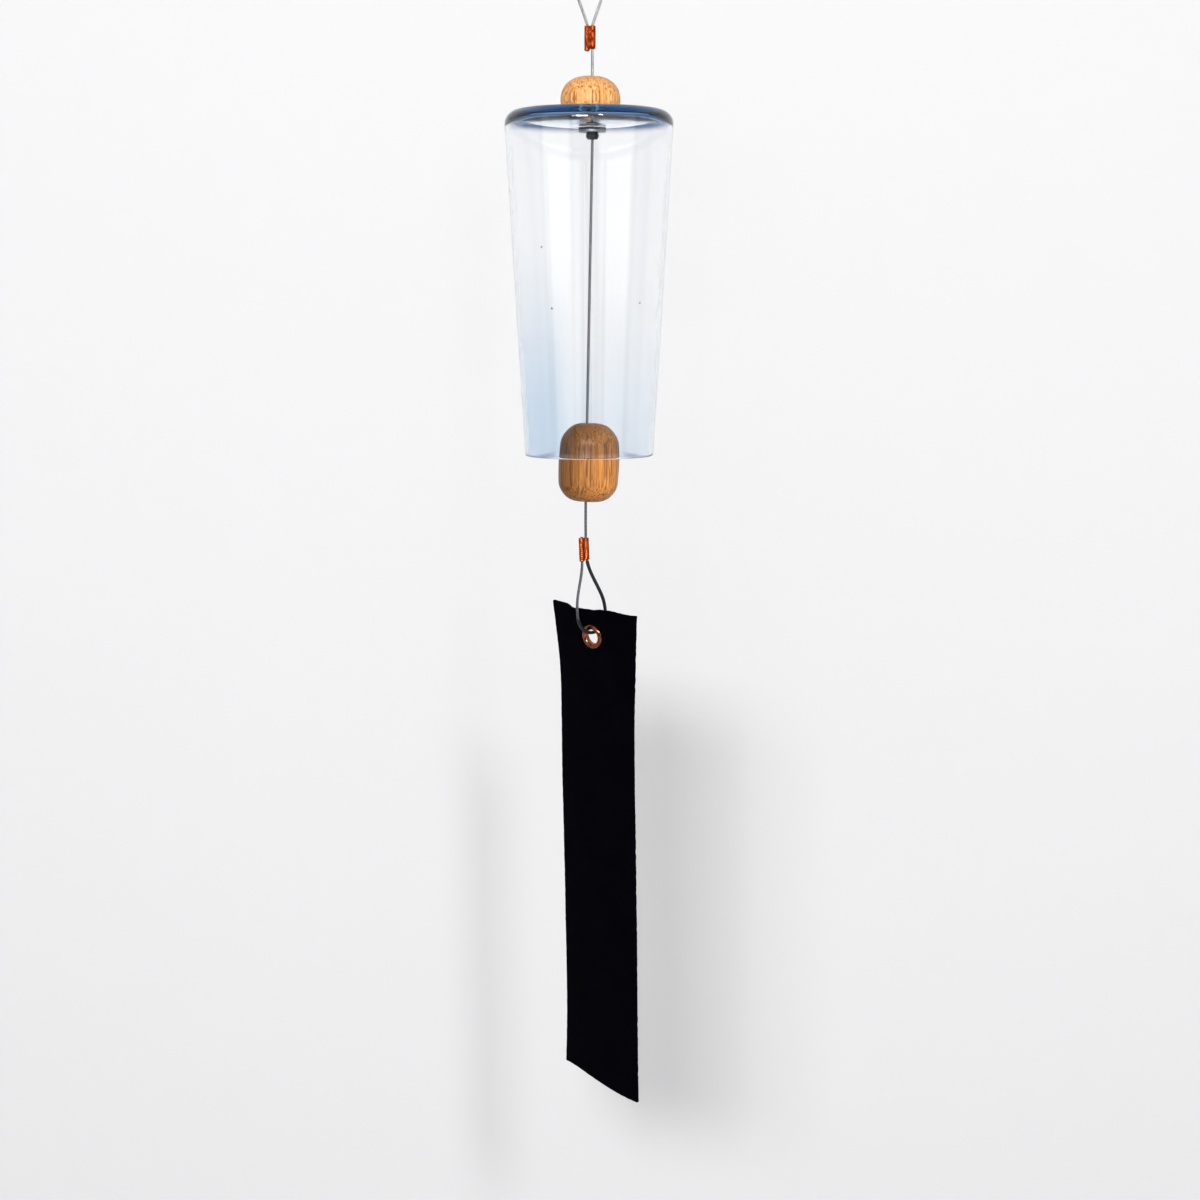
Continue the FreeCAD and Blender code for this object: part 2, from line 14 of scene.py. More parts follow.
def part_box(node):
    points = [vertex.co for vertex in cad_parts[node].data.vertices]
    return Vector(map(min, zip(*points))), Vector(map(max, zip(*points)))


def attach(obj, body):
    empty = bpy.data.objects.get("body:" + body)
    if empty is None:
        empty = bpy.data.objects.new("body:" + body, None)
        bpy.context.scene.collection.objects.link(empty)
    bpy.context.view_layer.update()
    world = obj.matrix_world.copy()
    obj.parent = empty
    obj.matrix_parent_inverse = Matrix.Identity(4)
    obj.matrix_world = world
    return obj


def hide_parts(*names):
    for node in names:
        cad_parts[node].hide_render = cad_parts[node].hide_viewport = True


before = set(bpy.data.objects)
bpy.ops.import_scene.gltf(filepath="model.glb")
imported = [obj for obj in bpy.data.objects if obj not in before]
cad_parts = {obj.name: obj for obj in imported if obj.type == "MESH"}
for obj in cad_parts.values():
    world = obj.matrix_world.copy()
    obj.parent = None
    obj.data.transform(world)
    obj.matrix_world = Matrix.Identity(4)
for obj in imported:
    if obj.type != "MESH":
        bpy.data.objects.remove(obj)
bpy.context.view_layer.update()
MM = 0.001

# Wire rope
ROPE_RADIUS = 0.6
STRANDS = 6
WIRES = 6                # outer wires of a strand
LAY = 9.5                # length in which a strand goes once round the rope
WIRE_LAY = 3.4           # length in which a wire goes once round its strand
CABLE_X = 0.95
# Left half of the hanging loop: across and up
LOOP_ROUTE = [(-0.95, -28.96), (-2.60, -24.0), (-4.60, -18.8), (-5.90, -13.6), (-6.67, -8.45), (-6.67, -4.88),
              (-4.88, -1.79), (-1.79, 0.0)]
GRIP_FOOT = -37.4        # lower end of the gripped length that the rope goes on from
CABLE_TOP = (CABLE_X, 0, -38.26)
CABLE_LENGTH = 35.46
STOP_HINGE = (CABLE_X, 0, -74.77)
TAIL_HINGE = (-1.93185, 0.0, -222.44188)
HINGE_GAP = 0.9          # between the end of the clapper's rope and the tail's hinge
# Lower ferrule: its foot and its direction, and the loop below it: across the loop's plane and up
CRIMP = (-2.45385, -1.2, -249.09188)
CRIMP_UP = Vector((-0.4, 0.6, 10.02)).normalized()
FERRULE_LENGTH = 9.3
LOOP_ACROSS = Vector((math.cos(math.radians(30)), math.sin(math.radians(30)), 0))
SLEEVE_WALL = 0.15
SLEEVE_DROP = 25.0       # how far below the ferrule's foot the black tube ends on the left leg
LOWER_ROUTE = [(2.60, -4.80), (4.93, -9.20), (7.44, -13.60), (9.30, -17.60), (10.20, -21.80), (10.25, -26.35),
               (8.40, -29.56), (5.20, -31.41), (1.50, -31.41), (-1.35, -29.41), (-3.05, -25.90), (-3.62, -21.90),
               (-3.55, -17.50), (-2.70, -12.00), (-1.50, -6.50)]
# Direction of the rope inside the glass
ROPE_DOWN = Vector((-math.sin(math.radians(1.118)), 0, -math.cos(math.radians(1.118))))

# Leather strip. Stations: share of the length, turn in degrees, then side, back and bow as shares of the width
EYELET = Vector((0.99044, -0.0433, -282.08371))
SAIL_FRONT = Vector((-0.64, -0.751, -0.15)).normalized()
SAIL_WIDTH = 44.0
SAIL_LENGTH = 214.8
SAIL_THICKNESS = 1.2
SAIL_COLUMNS = 60
SAIL_ROWS = 280
SAIL_HOLE = 4.25         # radius
SAIL_FLAT = 6.5          # radius round the hole in which the leather lies flat
SAIL_EASE = 5.0          # width in which it comes to its own form
EYELET_TO_TOP = 14.2
SAIL_STATIONS = [
    (-0.06, 33.5, -0.009, -0.092, 0.027), (0.04, 39.3, 0.010, -0.020, 0.027), (0.14, 44.3, 0.028, 0.024, 0.025),
    (0.24, 46.0, 0.032, 0.028, 0.021), (0.34, 46.1, 0.038, 0.015, 0.018), (0.44, 46.3, 0.049, 0.004, 0.016),
    (0.54, 46.5, 0.059, -0.002, 0.014), (0.64, 46.7, 0.067, -0.003, 0.014), (0.74, 46.9, 0.074, -0.003, 0.014),
    (0.84, 47.0, 0.079, -0.002, 0.014), (0.94, 46.0, 0.079, 0.001, 0.014), (1.04, 44.0, 0.076, 0.003, 0.014),
]
# Cut edges of the strip: places across it and insets, both as shares of the width, and how far each edge's middle
# lies to the side of the hole
TOP_SIDE = 0.02
BOTTOM_SIDE = 0.12
SAIL_TOP = [(-0.2, -0.02), (0.0, 0.0), (0.189, 0.021), (0.212, 0.033), (0.235, 0.054), (0.281, 0.060),
            (0.319, 0.056), (0.516, 0.061), (0.584, 0.051), (0.714, 0.054), (0.877, 0.076), (0.943, 0.079),
            (1.2, 0.076)]
SAIL_BOTTOM = [(-0.2, 0.190), (0.0, 0.178), (0.127, 0.156), (0.340, 0.106), (0.549, 0.057), (0.757, 0.018),
               (0.920, 0.0), (1.2, 0.0)]

# Glass
GLASS_X = -0.42
GLASS_TOP = -62.8
GLASS_RADIUS = 34.87
RIM_RADIUS = 26.98
GLASS_HEIGHT = 142.3
GLASS_WALL = 1.7
BASE_THICKNESS = 6.8
EDGE_THICKNESS = 3.6
SEAT_RADIUS = 6.5
SHOULDER = 5.8
INNER_CORNER = 3.0
HOLE_RADIUS = 3.0
GLASS_SIDES = 192
GLASS_STEP = 3.0         # longest step along its outline
SPECK_RADIUS = 0.45
# Specks in the front wall: across and up
GLASS_SPECKS = [(-19.1, -119.2), (-15.0, -143.8), (20.7, -141.6)]

# Camera: its lens and film width, its place in metres and its tilt below level in degrees
CAMERA_LENS = 65.4
CAMERA_FILM = 36.0
CAMERA_PLACE = (0.0041, -0.917, -0.14404)
CAMERA_TILT = 7.603

# Stage, in metres
WALL_Y = 0.19
WALL_TOP = 2.4
WALL_HALF_WIDTH = 3.5
FLOOR_Z = -0.78
FLOOR_BEND = 0.12

# Lamps and boards stand round this place in metres. Each has its azimuth and elevation in degrees, its distance
# and size in metres, and its power in watts or its strength
LIT_PLACE = (0, 0, -0.25)
LAMPS = {
    "left_lamp": (-8.8, 21, 2.4, (0.62, 0.42), 50.0),
    "left_side_lamp": (-21.3, 21, 2.4, (0.45, 0.42), 14.0),
    "right_lamp": (17.3, 27, 2.4, (0.24, 0.42), 18.5),
    "right_fill": (62, 10, 2.0, (1.2, 1.2), 10.0),
}
BOARDS = {
    "left_board": (-47, 2, 1.5, (1.35, 1.5), 1.8),
    "right_board": (40, 2, 1.5, (1.80, 1.5), 1.8),
}

# Tones of the world: what is seen directly, what falls in evenly, and the room that gloss shows, front to back
SEEN_TONE = (0.887, 0.891, 0.90)
EVEN_TONE = (0.24, 0.24, 0.242)
ROOM = [(0.0, (0.05, 0.055, 0.07)), (0.06, (0.06, 0.07, 0.09)), (0.30, (0.38, 0.43, 0.54)),
        (0.50, (0.45, 0.51, 0.64)), (0.75, (0.88, 0.89, 0.90))]


# Camera, as the photograph was taken
def camera():
    data = bpy.data.cameras.new("camera")
    data.lens = CAMERA_LENS
    data.sensor_width = CAMERA_FILM
    data.clip_start = 0.01
    data.clip_end = 50.0
    cam = bpy.data.objects.new("camera", data)
    cam.location = CAMERA_PLACE
    cam.rotation_euler = (math.radians(90 - CAMERA_TILT), 0, 0)
    bpy.context.scene.collection.objects.link(cam)
    bpy.context.scene.camera = cam


# Node helpers
class Nodes:
    """A material's node tree, with short calls to add and link nodes."""

    def __init__(self, name):
        self.material = bpy.data.materials.new(name)
        self.material.use_nodes = True
        self.tree = self.material.node_tree
        self.bsdf = self.tree.nodes["Principled BSDF"]
        self.out = self.tree.nodes["Material Output"]

    def add(self, kind, **values):
        node = self.tree.nodes.new(kind)
        for key, value in values.items():
            setattr(node, key, value)
        return node

    def link(self, a, b):
        self.tree.links.new(a, b)

    def set(self, **values):
        for key, value in values.items():
            self.bsdf.inputs[key.replace("_", " ")].default_value = value

    def coords(self, scale=(1, 1, 1), location=(0, 0, 0), rotation=(0, 0, 0), source="Object"):
        tc = self.add("ShaderNodeTexCoord")
        mapping = self.add("ShaderNodeMapping")
        mapping.inputs["Scale"].default_value = scale
        mapping.inputs["Location"].default_value = location
        mapping.inputs["Rotation"].default_value = rotation
        self.link(tc.outputs[source], mapping.inputs["Vector"])
        return mapping.outputs["Vector"]

    def noise(self, vector, scale, detail=3.0, roughness=0.5, distortion=0.0):
        node = self.add("ShaderNodeTexNoise")
        self.link(vector, node.inputs["Vector"])
        node.inputs["Scale"].default_value = scale
        node.inputs["Detail"].default_value = detail
        node.inputs["Roughness"].default_value = roughness
        node.inputs["Distortion"].default_value = distortion
        return node.outputs["Fac"]

    def ramp(self, value, *stops):
        node = self.add("ShaderNodeValToRGB")
        self.link(value, node.inputs["Fac"])
        ramp = node.color_ramp
        while len(ramp.elements) < len(stops):
            ramp.elements.new(0.5)
        for element, (position, color) in zip(ramp.elements, stops):
            element.position = position
            element.color = (*color, 1) if hasattr(color, "__len__") else (color, color, color, 1)
        return node.outputs["Color"]

    def mix(self, factor, a, b, blend="MIX"):
        node = self.add("ShaderNodeMix", data_type="RGBA", blend_type=blend)
        for socket, value in (("Factor", factor), ("A", a), ("B", b)):
            target = [s for s in node.inputs if s.name == socket and s.enabled][0]
            if isinstance(value, bpy.types.NodeSocket):
                self.link(value, target)
            else:
                target.default_value = (*value, 1) if hasattr(value, "__len__") else value
        return [s for s in node.outputs if s.enabled][0]

    def math(self, operation, a, b=0.0, clamp=False):
        node = self.add("ShaderNodeMath", operation=operation, use_clamp=clamp)
        for socket, value in zip(node.inputs, (a, b)):
            if isinstance(value, bpy.types.NodeSocket):
                self.link(value, socket)
            else:
                socket.default_value = value
        return node.outputs[0]

    def fade(self, value, start, full):
        """Smooth rise from 0 at the start to 1 at the full value."""
        node = self.add("ShaderNodeMapRange", interpolation_type="SMOOTHSTEP")
        self.link(value, node.inputs["Value"])
        node.inputs["From Min"].default_value = start
        node.inputs["From Max"].default_value = full
        return node.outputs["Result"]

    def bump(self, height, strength, distance, normal=None):
        node = self.add("ShaderNodeBump")
        node.inputs["Strength"].default_value = strength
        node.inputs["Distance"].default_value = distance
        self.link(height, node.inputs["Height"])
        if normal is not None:
            self.link(normal, node.inputs["Normal"])
        return node.outputs["Normal"]

    def to(self, value, name):
        self.link(value, self.bsdf.inputs[name])


# Materials
def oak(name, light, dark, streak, shift, painted_shades=()):
    """Oak with growth rings round an axis beside the piece and dark pores drawn out along the grain.

    Painted shades darken the wood where less light falls, as painted shade: axis, place where they start, place
    where they are full, and tone."""
    n = Nodes(name)
    # Growth rings, bent a little along the grain
    place = n.coords(location=shift)
    warp = n.add("ShaderNodeVectorMath", operation="MULTIPLY_ADD")
    wobble = n.add("ShaderNodeTexNoise")
    n.link(n.coords(scale=(1, 1, 0.35)), wobble.inputs["Vector"])
    wobble.inputs["Scale"].default_value = 55.0
    wobble.inputs["Detail"].default_value = 2.0
    n.link(wobble.outputs["Color"], warp.inputs[0])
    warp.inputs[1].default_value = (0.0045, 0.0045, 0.0)
    n.link(place, warp.inputs[2])
    rings = n.add("ShaderNodeTexWave", wave_type="RINGS", rings_direction="Z", wave_profile="SAW")
    n.link(warp.outputs["Vector"], rings.inputs["Vector"])
    rings.inputs["Scale"].default_value = 110.0
    rings.inputs["Distortion"].default_value = 0.6
    rings.inputs["Detail"].default_value = 2.0
    rings.inputs["Detail Scale"].default_value = 1.5
    ring = rings.outputs["Fac"]
    # Fine streaks, broad ones and pores, all drawn out along the grain
    fine = n.noise(n.coords(scale=(1, 1, 0.022), rotation=(0.03, 0.04, 0)), 2300.0, 3.0, 0.65)
    broad = n.noise(n.coords(scale=(1, 1, 0.08)), 300.0, 2.0, 0.55)
    pores = n.noise(n.coords(scale=(1, 1, 0.022), location=(0.3, 0.1, 0.02)), 1700.0, 1.0, 0.5)
    pore_mask = n.ramp(n.math("ADD", pores, n.math("MULTIPLY", ring, 0.09)), (0.58, 0.0), (0.68, 1.0))
    # Colour, from the streaks to the pores, then the zones of painted shade
    body = n.mix(n.ramp(fine, (0.36, 0.0), (0.66, 1.0)), light, dark)
    body = n.mix(n.math("MULTIPLY", n.ramp(broad, (0.35, 0.0), (0.7, 1.0)), 0.45), body, dark)
    body = n.mix(n.math("MULTIPLY", ring, 0.25), body, dark)
    color = n.mix(n.math("MULTIPLY", pore_mask, 0.80), body, streak)
    split = n.add("ShaderNodeSeparateXYZ")
    n.link(n.coords(), split.inputs[0])
    # Painted shade: each zone multiplies the colour by its tone
    for axis, start, full, tone in painted_shades:
        color = n.mix(n.fade(split.outputs[axis], start, full), color, (tone, tone, tone), "MULTIPLY")
    n.to(color, "Base Color")
    n.to(n.math("ADD", n.math("MULTIPLY", pore_mask, 0.15), 0.42), "Roughness")
    height = n.math("SUBTRACT", n.math("MULTIPLY", fine, 0.3), pore_mask)
    n.to(n.bump(height, 0.35, 0.00012), "Normal")
    n.set(IOR=1.45, Specular_IOR_Level=0.16)
    return n.material


def copper(name, color, dark, rough, scale):
    """Polished copper with dull patches and fine drawn marks."""
    n = Nodes(name)
    patches = n.noise(n.coords(), 420.0 * scale, 4.0, 0.6)
    marks = n.noise(n.coords(scale=(1, 1, 14)), 900.0 * scale, 2.0, 0.5)
    tint = n.mix(n.ramp(patches, (0.38, 0.0), (0.68, 1.0)), color, dark)
    n.to(tint, "Base Color")
    n.to(n.math("ADD", n.math("MULTIPLY", patches, 0.12), rough), "Roughness")
    n.to(n.bump(n.math("ADD", marks, patches), 0.25, 0.00004), "Normal")
    n.set(Metallic=1.0)
    return n.material


def wire(name, light, dull):
    """Galvanised wire rope with patchy grime, and painted shade, near black, on the strands' sides that face into
    the rope.
    """
    n = Nodes(name)
    strand_shade = n.add("ShaderNodeAttribute", attribute_name="strand_shade")
    grime = n.noise(n.coords(), 900.0, 3.0, 0.6)
    clean = n.mix(grime, light, dull)
    # Painted shade: near black where the strands face into the rope and between their wires
    color = n.mix(n.ramp(strand_shade.outputs["Fac"], (0.62, 0.0), (0.92, 1.0)), (0.006, 0.006, 0.006), clean)
    n.to(color, "Base Color")
    n.to(n.math("ADD", n.math("MULTIPLY", grime, 0.2), 0.28), "Roughness")
    n.set(Metallic=0.85)
    return n.material


def leather(name):
    """Almost black leather with a fine grain and creases."""
    n = Nodes(name)
    grain = n.add("ShaderNodeTexVoronoi", feature="DISTANCE_TO_EDGE")
    n.link(n.coords(), grain.inputs["Vector"])
    grain.inputs["Scale"].default_value = 1500.0
    cells = n.ramp(grain.outputs["Distance"], (0.0, 0.0), (0.12, 1.0))
    haze = n.noise(n.coords(), 60.0, 4.0, 0.6)
    fine = n.noise(n.coords(), 3200.0, 2.0, 0.6)
    color = n.mix(n.ramp(haze, (0.35, 0.0), (0.75, 1.0)), (0.0004, 0.0003, 0.0010), (0.0009, 0.0007, 0.0019))
    n.to(color, "Base Color")
    n.to(n.math("ADD", n.math("MULTIPLY", haze, 0.15), 0.52), "Roughness")
    n.to(n.bump(n.math("ADD", cells, fine), 0.35, 0.00006), "Normal")
    n.set(IOR=1.4, Specular_IOR_Level=0.012)
    return n.material


def simple(name, color, rough, metal=0.0, speck=900.0, bump=0.15, vary=0.25, dull=0.2, **values):
    """Plain stock with a little unevenness in tone, gloss and surface."""
    n = Nodes(name)
    uneven = n.noise(n.coords(), speck, 3.0, 0.55)
    other = tuple(c * (1 - vary) for c in color)
    n.to(n.mix(uneven, color, other), "Base Color")
    n.to(n.math("ADD", n.math("MULTIPLY", uneven, dull), rough), "Roughness")
    n.to(n.bump(uneven, bump, 0.00005), "Normal")
    n.set(Metallic=metal, **values)
    return n.material


def glass(name):
    """Pale blue glass, deeper at the base's edge and towards the rim, with three specks in its wall."""
    n = Nodes(name)
    swirl = n.noise(n.coords(scale=(1, 1, 0.15)), 45.0, 2.0, 0.5)
    n.to(n.bump(swirl, 0.05, 0.0006), "Normal")
    place = n.coords(location=(-GLASS_X * MM, 0, 0))
    split = n.add("ShaderNodeSeparateXYZ")
    n.link(place, split.inputs[0])
    across = n.add("ShaderNodeVectorMath", operation="MULTIPLY")
    n.link(place, across.inputs[0])
    across.inputs[1].default_value = (1, 1, 0)
    reach = n.add("ShaderNodeVectorMath", operation="LENGTH")
    n.link(across.outputs["Vector"], reach.inputs[0])
    # Blue that deepens towards the rim, more so on the left
    low = n.fade(split.outputs["Z"], -0.130, -0.235)
    streaks = n.noise(n.coords(scale=(1, 1, 0.06)), 90.0, 2.0, 0.5)
    leftward = n.math("MULTIPLY", n.fade(split.outputs["X"], -0.008, -0.018),
                      n.fade(split.outputs["Z"], -0.105, -0.190))
    uneven = n.math("MULTIPLY", low, n.math("MULTIPLY", streaks, 1.3))
    deep = n.math("ADD", uneven, n.math("MULTIPLY", leftward, 0.65), clamp=True)
    tint = n.mix(deep, (1.0, 1.0, 1.0), (0.80, 0.875, 0.945))
    # Dark blue at the base's edge, and painted shade as a darker line on both sides of the rim
    edge = n.fade(reach.outputs["Value"], 0.0290, 0.0325)
    shoulder = n.math("MULTIPLY", edge, n.fade(split.outputs["Z"], -0.0705, -0.0662))
    tint = n.mix(shoulder, tint, (0.012, 0.085, 0.24))
    aside = n.fade(n.math("ABSOLUTE", split.outputs["X"]), 0.013, 0.019)
    lip = n.math("MULTIPLY", aside, n.fade(split.outputs["Z"], -0.2040, -0.2046))
    tint = n.mix(lip, tint, (0.36, 0.39, 0.52))
    for x, z in GLASS_SPECKS:
        below = (GLASS_TOP - SHOULDER - z) / (GLASS_HEIGHT - SHOULDER)
        radius = GLASS_RADIUS - (GLASS_RADIUS - RIM_RADIUS) * below
        away = n.add("ShaderNodeVectorMath", operation="DISTANCE")
        n.link(place, away.inputs[0])
        away.inputs[1].default_value = (x * MM, -math.sqrt(radius ** 2 - x ** 2) * MM, z * MM)
        spot = n.math("LESS_THAN", away.outputs["Value"], SPECK_RADIUS * MM)
        tint = n.mix(spot, tint, (0.10, 0.11, 0.14))
    n.to(tint, "Base Color")
    n.set(Roughness=0.0, IOR=1.42, Transmission_Weight=1.0)
    volume = n.add("ShaderNodeVolumeAbsorption")
    volume.inputs["Color"].default_value = (0.10, 0.40, 0.68, 1)
    volume.inputs["Density"].default_value = 11.0
    n.link(volume.outputs["Volume"], n.out.inputs["Volume"])
    return n.material


MATERIALS = {
    "bead_oak": oak("bead_oak", (0.84, 0.48, 0.195), (0.44, 0.175, 0.045), (0.20, 0.068, 0.018),
                    (0.035, 0.022, 0.3)),
    # Clapper: painted shade on its left side and on its top inside the glass
    "clapper_oak": oak("clapper_oak", (0.74, 0.330, 0.088), (0.33, 0.115, 0.027), (0.120, 0.043, 0.014),
                       (0.016, 0.012, 0.1), [("X", 0.010, -0.014, 0.30), ("Z", -0.206, -0.203, 0.58)]),
    "copper": copper("copper", (0.34, 0.056, 0.012), (0.10, 0.012, 0.003), 0.07, 1.0),
    "pressed_copper": copper("pressed_copper", (0.37, 0.068, 0.016), (0.09, 0.012, 0.004), 0.12, 1.0),
    "old_copper": copper("old_copper", (0.30, 0.090, 0.045), (0.12, 0.030, 0.015), 0.06, 0.5),
    "wire": wire("wire", (0.58, 0.56, 0.55), (0.26, 0.25, 0.245)),
    # Darker copy of the same wire for the rope inside the glass and the tail: painted shade
    "shaded_wire": wire("shaded_wire", (0.22, 0.22, 0.235), (0.07, 0.07, 0.08)),
    "leather": leather("leather"),
    "rubber": simple("rubber", (0.004, 0.004, 0.0045), 0.55, Specular_IOR_Level=0.12),
    "steel": simple("steel", (0.15, 0.168, 0.20), 0.30, metal=1.0),
    "dark_metal": simple("dark_metal", (0.003, 0.003, 0.004), 0.04, bump=0.10, dull=0.06,
                         Specular_IOR_Level=0.35),
    "tube": simple("tube", (0.006, 0.0065, 0.008), 0.30, speck=500.0, bump=0.06, dull=0.1,
                   Specular_IOR_Level=0.30),
    "glass": glass("glass"),
}


def paint(obj, name):
    obj.data.materials.clear()
    obj.data.materials.append(MATERIALS[name])
    return obj


# Mesh helpers
def new_object(name, vertices, faces, smooth=True):
    mesh = bpy.data.meshes.new(name)
    mesh.from_pydata([tuple(v) for v in vertices], [], faces)
    mesh.validate()
    obj = bpy.data.objects.new(name, mesh)
    bpy.context.scene.collection.objects.link(obj)
    if smooth:
        mesh.shade_smooth()
    return obj


def apply_modifiers(obj):
    """The object with its modifiers' result as its own mesh."""
    deps = bpy.context.evaluated_depsgraph_get()
    mesh = bpy.data.meshes.new_from_object(obj.evaluated_get(deps), depsgraph=deps)
    obj.modifiers.clear()
    old = obj.data
    obj.data = mesh
    bpy.data.meshes.remove(old)
    return obj


# Wire rope
def nurbs_line(name, points):
    """The smooth line of a rope's route, as points close together. Points are in millimetres."""
    curve = bpy.data.curves.new(name, "CURVE")
    curve.dimensions = "3D"
    spline = curve.splines.new("NURBS")
    spline.points.add(len(points) - 1)
    for point, place in zip(spline.points, points):
        point.co = (place[0] * MM, place[1] * MM, place[2] * MM, 1)
    spline.order_u = 3
    spline.use_endpoint_u = True
    spline.resolution_u = 24
    holder = bpy.data.objects.new(name, curve)
    mesh = bpy.data.meshes.new_from_object(holder)
    line = np.array([v.co[:] for v in mesh.vertices])
    bpy.data.objects.remove(holder)
    bpy.data.curves.remove(curve)
    bpy.data.meshes.remove(mesh)
    return line


def resample(line, step):
    """Points at even steps along a line, with their distances from its start."""
    lengths = np.linalg.norm(np.diff(line, axis=0), axis=1)
    along = np.concatenate([[0], np.cumsum(lengths)])
    count = max(2, int(round(along[-1] / step)) + 1)
    at = np.linspace(0, along[-1], count)
    return np.stack([np.interp(at, along, line[:, k]) for k in range(3)], axis=1), at


def frames(points):
    """Tangents and two cross directions that don't twist along the line."""
    tangents = np.gradient(points, axis=0)
    tangents /= np.linalg.norm(tangents, axis=1)[:, None]
    first = np.cross(tangents[0], (0, 1, 0.01))
    first /= np.linalg.norm(first)
    sides = [first]
    for tangent in tangents[1:]:
        side = sides[-1] - tangent * np.dot(sides[-1], tangent)
        sides.append(side / np.linalg.norm(side))
    sides = np.array(sides)
    return tangents, sides, np.cross(tangents, sides)


def swept(points, radii, count, closed_ends=True):
    """Vertices and faces of a tube round a line, with a radius for each ring and corner."""
    _, sides, ups = frames(points)
    rings = len(points)
    angles = np.linspace(0, 2 * math.pi, count, endpoint=False)
    radii = np.broadcast_to(radii, (rings, count))
    vertices = (points[:, None, :] + sides[:, None, :] * (np.cos(angles)[None, :] * radii)[..., None]
                + ups[:, None, :] * (np.sin(angles)[None, :] * radii)[..., None]).reshape(-1, 3)
    faces = []
    for i in range(rings - 1):
        for j in range(count):
            k = (j + 1) % count
            faces.append((i * count + j, i * count + k, (i + 1) * count + k, (i + 1) * count + j))
    if closed_ends:
        faces.append(tuple(reversed(range(count))))
        faces.append(tuple(range((rings - 1) * count, rings * count)))
    return vertices, faces


def rope(name, lines, material="wire", step=0.42):
    """Strands and their outer wires laid round the lines, as one mesh with a value for the painted shade between
    the strands.
    """
    vertices = []
    faces = []
    strand_shades = []
    strand_at = ROPE_RADIUS * MM * 2 / 3
    count = WIRES * 3
    for line in lines:
        centre, along = resample(line, step * MM)
        _, sides, ups = frames(centre)
        for strand in range(STRANDS):
            turn = 2 * math.pi * (along / (LAY * MM) + strand / STRANDS)
            outward = sides * np.cos(turn)[:, None] + ups * np.sin(turn)[:, None]
            path = centre + outward * strand_at
            angles = np.linspace(0, 2 * math.pi, count, endpoint=False)
            _, strand_sides, strand_ups = frames(path)
            base = np.arctan2((outward * strand_ups).sum(1), (outward * strand_sides).sum(1))
            wire_turn = 2 * math.pi * along / (WIRE_LAY * MM)
            lobes = np.abs(np.cos(WIRES / 2 * (angles[None, :] - wire_turn[:, None])))
            radii = ROPE_RADIUS * MM / 3 * (0.90 + 0.13 * lobes)
            v, f = swept(path, radii, count)
            offset = len(vertices)
            vertices.extend(v)
            faces.extend(tuple(i + offset for i in face) for face in f)
            # Value for the painted shade: low where a strand faces into the rope, a little lower between its
            # wires
            facing = 0.5 + 0.5 * np.cos(angles[None, :] - base[:, None])
            strand_shades.extend((facing * (0.85 + 0.15 * lobes)).reshape(-1))
    obj = new_object(name, vertices, faces)
    attribute = obj.data.attributes.new("strand_shade", "FLOAT", "POINT")
    attribute.data.foreach_set("value", np.array(strand_shades, np.float32))
    return paint(obj, material)


def straight(start, direction, length):
    """Line in metres from a place in millimetres."""
    a = np.array(start) * MM
    b = a + np.array(direction) * length * MM
    return np.linspace(a, b, 60)


def ropes():
    """The one wire rope in its five lengths, from the hanging loop to the lower loop."""
    left = [(x, 0.0, z) for x, z in LOOP_ROUTE]
    loop = nurbs_line("loop_line", left + [(-x, y, z) for x, y, z in reversed(left)])
    loop_rope = rope("loop_strands", [loop])
    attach(loop_rope, "hanger")
    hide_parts("hanging_loop")

    low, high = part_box("gripped_rope")
    grips = [np.linspace((side * CABLE_X * MM, 0, high.z), (side * CABLE_X * MM, 0, foot), 12)
             for side, foot in ((1, GRIP_FOOT * MM), (-1, low.z))]
    grip_rope = rope("gripped_strands", grips)
    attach(grip_rope, "crimp")
    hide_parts("gripped_rope")

    hang = straight(CABLE_TOP, (0, 0, -1), CABLE_LENGTH)
    cable = rope("suspension_strands", [hang])
    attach(cable, "cable")
    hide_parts("suspension_cable")

    run = (Vector(TAIL_HINGE) - Vector(STOP_HINGE)).length - HINGE_GAP
    inner = straight(STOP_HINGE, tuple(ROPE_DOWN), run)
    inner_rope = rope("clapper_strands", [inner], "shaded_wire")
    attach(inner_rope, "clapper_line")
    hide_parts("clapper_cable")

    crimp = Vector(CRIMP)
    rise = CRIMP_UP * FERRULE_LENGTH
    right = crimp + LOOP_ACROSS * CABLE_X
    end = crimp - LOOP_ACROSS * CABLE_X
    route = [Vector(TAIL_HINGE), right + rise, right]
    route += [crimp + LOOP_ACROSS * u + Vector((0, 0, z)) for u, z in LOWER_ROUTE]
    route += [end, end + rise + CRIMP_UP * 0.4]
    tail = nurbs_line("tail_line", route)
    tail_rope = rope("tail_strands", [tail], "shaded_wire")
    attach(tail_rope, "tail")
    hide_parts("tail_cable")
    tube = loop_tube(tail)


def loop_tube(line):
    """Black tube over the lower loop, from under the ferrule on its right to half way up its left leg."""
    points, _ = resample(line, 0.35 * MM)
    below = np.array([p[2] for p in points]) < CRIMP[2] * MM
    first = int(np.argmax(below)) + 1
    left = points[:, :2] @ np.array([LOOP_ACROSS.x, LOOP_ACROSS.y]) < (Vector(CRIMP).dot(LOOP_ACROSS)) * MM
    top_z = (CRIMP[2] - SLEEVE_DROP) * MM
    last = max(i for i in range(len(points)) if i > first and not (left[i] and points[i][2] > top_z))
    stretch = points[first:last + 1]
    radius = (ROPE_RADIUS + SLEEVE_WALL) * MM
    radii = np.full((len(stretch), 20), radius)
    radii[0] *= 0.93
    radii[-1] *= 0.90
    vertices, faces = swept(stretch, radii, 20)
    tube = new_object("loop_tube", vertices, faces)
    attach(tube, "tail")
    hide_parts("loop_sleeve")
    return paint(tube, "tube")


